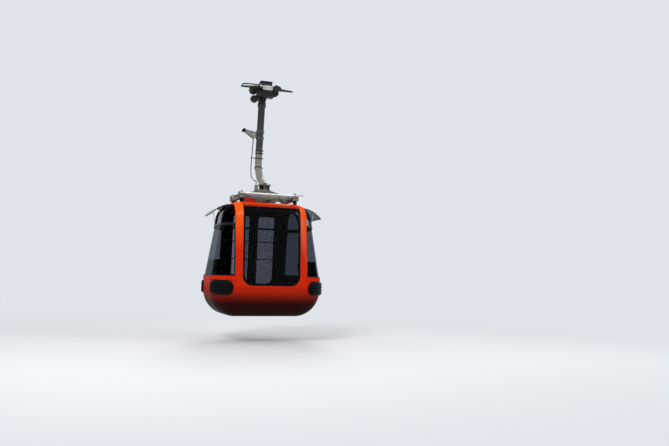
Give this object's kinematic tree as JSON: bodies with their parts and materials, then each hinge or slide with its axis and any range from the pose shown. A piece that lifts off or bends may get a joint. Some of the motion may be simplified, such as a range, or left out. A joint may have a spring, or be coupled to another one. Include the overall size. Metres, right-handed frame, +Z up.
{
  "type": "gondola cable car cabin",
  "caption": "Small gondola cabin with a rope grip, bent hanger tube, roof frame, smoked panes, corner bumpers and outside sliding doors.",
  "frame": {"origin": "centre of the rope inside the grip, at the middle of the jaws", "axes": "+X along the rope, +Y towards the door side, +Z up"},
  "size_m": [2.0236, 1.5186, 4.2623],
  "materials": {
    "orange_paint": "gloss orange-red coach paint",
    "roof_paint": "weathered orange-red paint",
    "red_cover": "moulded red cover",
    "smoked_glass": "smoked polycarbonate",
    "black_frame": "black edge profile",
    "black_rubber": "moulded rubber",
    "galvanised_steel": "dull zinc coat",
    "hanger_paint": "weathered grey zinc paint",
    "dark_casting": "oiled cast steel",
    "bright_steel": "turned steel",
    "cable_sheath": "ribbed cable sheath",
    "floor_rubber": "studded floor covering",
    "bench_plastic": "moulded dark grey bench"
  },
  "bodies": {
    "grip": {"grip_body": "dark_casting", "moving_jaw": "dark_casting", "front_plate": "galvanised_steel", "rope_tongues": "dark_casting", "clamp_springs": "dark_casting", "friction_plate": "dark_casting", "wheel_axles": "bright_steel", "hanger_pin": "bright_steel"},
    "wheel_left": {"running_wheel_left": "black_rubber"},
    "wheel_right": {"running_wheel_right": "black_rubber"},
    "guide_wheel": {"guide_roller": "black_rubber"},
    "lever_wheel": {"lever_roller": "black_rubber"},
    "door_left": {"door_leaf_left": "orange_paint", "door_pane_left": "smoked_glass"},
    "door_right": {"door_leaf_right": "orange_paint", "door_pane_right": "smoked_glass"},
    "cabin": {"backrests": "bench_plastic", "belt_rails": "orange_paint", "benches": "bench_plastic", "corner_bumpers": "black_rubber", "corner_panes": "smoked_glass", "door_cable": "cable_sheath", "door_lever": "galvanised_steel", "door_rail": "galvanised_steel", "drive_cover": "red_cover", "end_pane_left": "smoked_glass", "end_pane_right": "smoked_glass", "flap_stays": "bright_steel", "floor": "floor_rubber", "foot_casting": "galvanised_steel", "foot_damper": "black_rubber", "frame_beam_far": "galvanised_steel", "frame_beam_near": "galvanised_steel", "frame_cross": "galvanised_steel", "frame_mounts": "black_rubber", "frame_outriggers": "galvanised_steel", "frame_spine": "galvanised_steel", "hanger_head": "hanger_paint", "hanger_tube": "hanger_paint", "mount_housings": "galvanised_steel", "pillar_far_left": "orange_paint", "pillar_far_right": "orange_paint", "pillar_near_left": "orange_paint", "pillar_near_right": "orange_paint", "roof_panel": "roof_paint", "side_headers": "orange_paint", "side_window": "smoked_glass", "sill_plate": "bright_steel", "tub": "orange_paint", "tube_bands": "black_frame", "vent_flaps": "smoked_glass", "vent_frames": "black_frame"}
  },
  "joints": [
    {"name": "hanger_swing", "type": "hinge", "parent": "grip", "child": "cabin", "pos_m": [0, 0.372, -0.088], "axis": [0, 1, 0], "range_deg": [-35, 35]},
    {"name": "left_wheel_turn", "type": "hinge", "parent": "grip", "child": "wheel_left", "pos_m": [-0.204, 0.238, 0.02], "axis": [0, 1, 0], "continuous": true},
    {"name": "right_wheel_turn", "type": "hinge", "parent": "grip", "child": "wheel_right", "pos_m": [0.204, 0.238, 0.02], "axis": [0, 1, 0], "continuous": true},
    {"name": "guide_roller_turn", "type": "hinge", "parent": "grip", "child": "guide_wheel", "pos_m": [-0.182, 0.238, -0.142], "axis": [0, 1, 0], "continuous": true},
    {"name": "lever_roller_turn", "type": "hinge", "parent": "cabin", "child": "lever_wheel", "pos_m": [-0.312, 0.4327, -0.7], "axis": [0, 1, 0], "continuous": true},
    {"name": "left_door_slide", "type": "slide", "parent": "cabin", "child": "door_left", "axis": [-1, 0, 0], "range_m": [0, 0.42]},
    {"name": "right_door_slide", "type": "slide", "parent": "cabin", "child": "door_right", "axis": [1, 0, 0], "range_m": [0, 0.42]}
  ],
  "couplings": [
    {"joint": "right_door_slide", "follows": "left_door_slide", "ratio": 1}
  ]
}
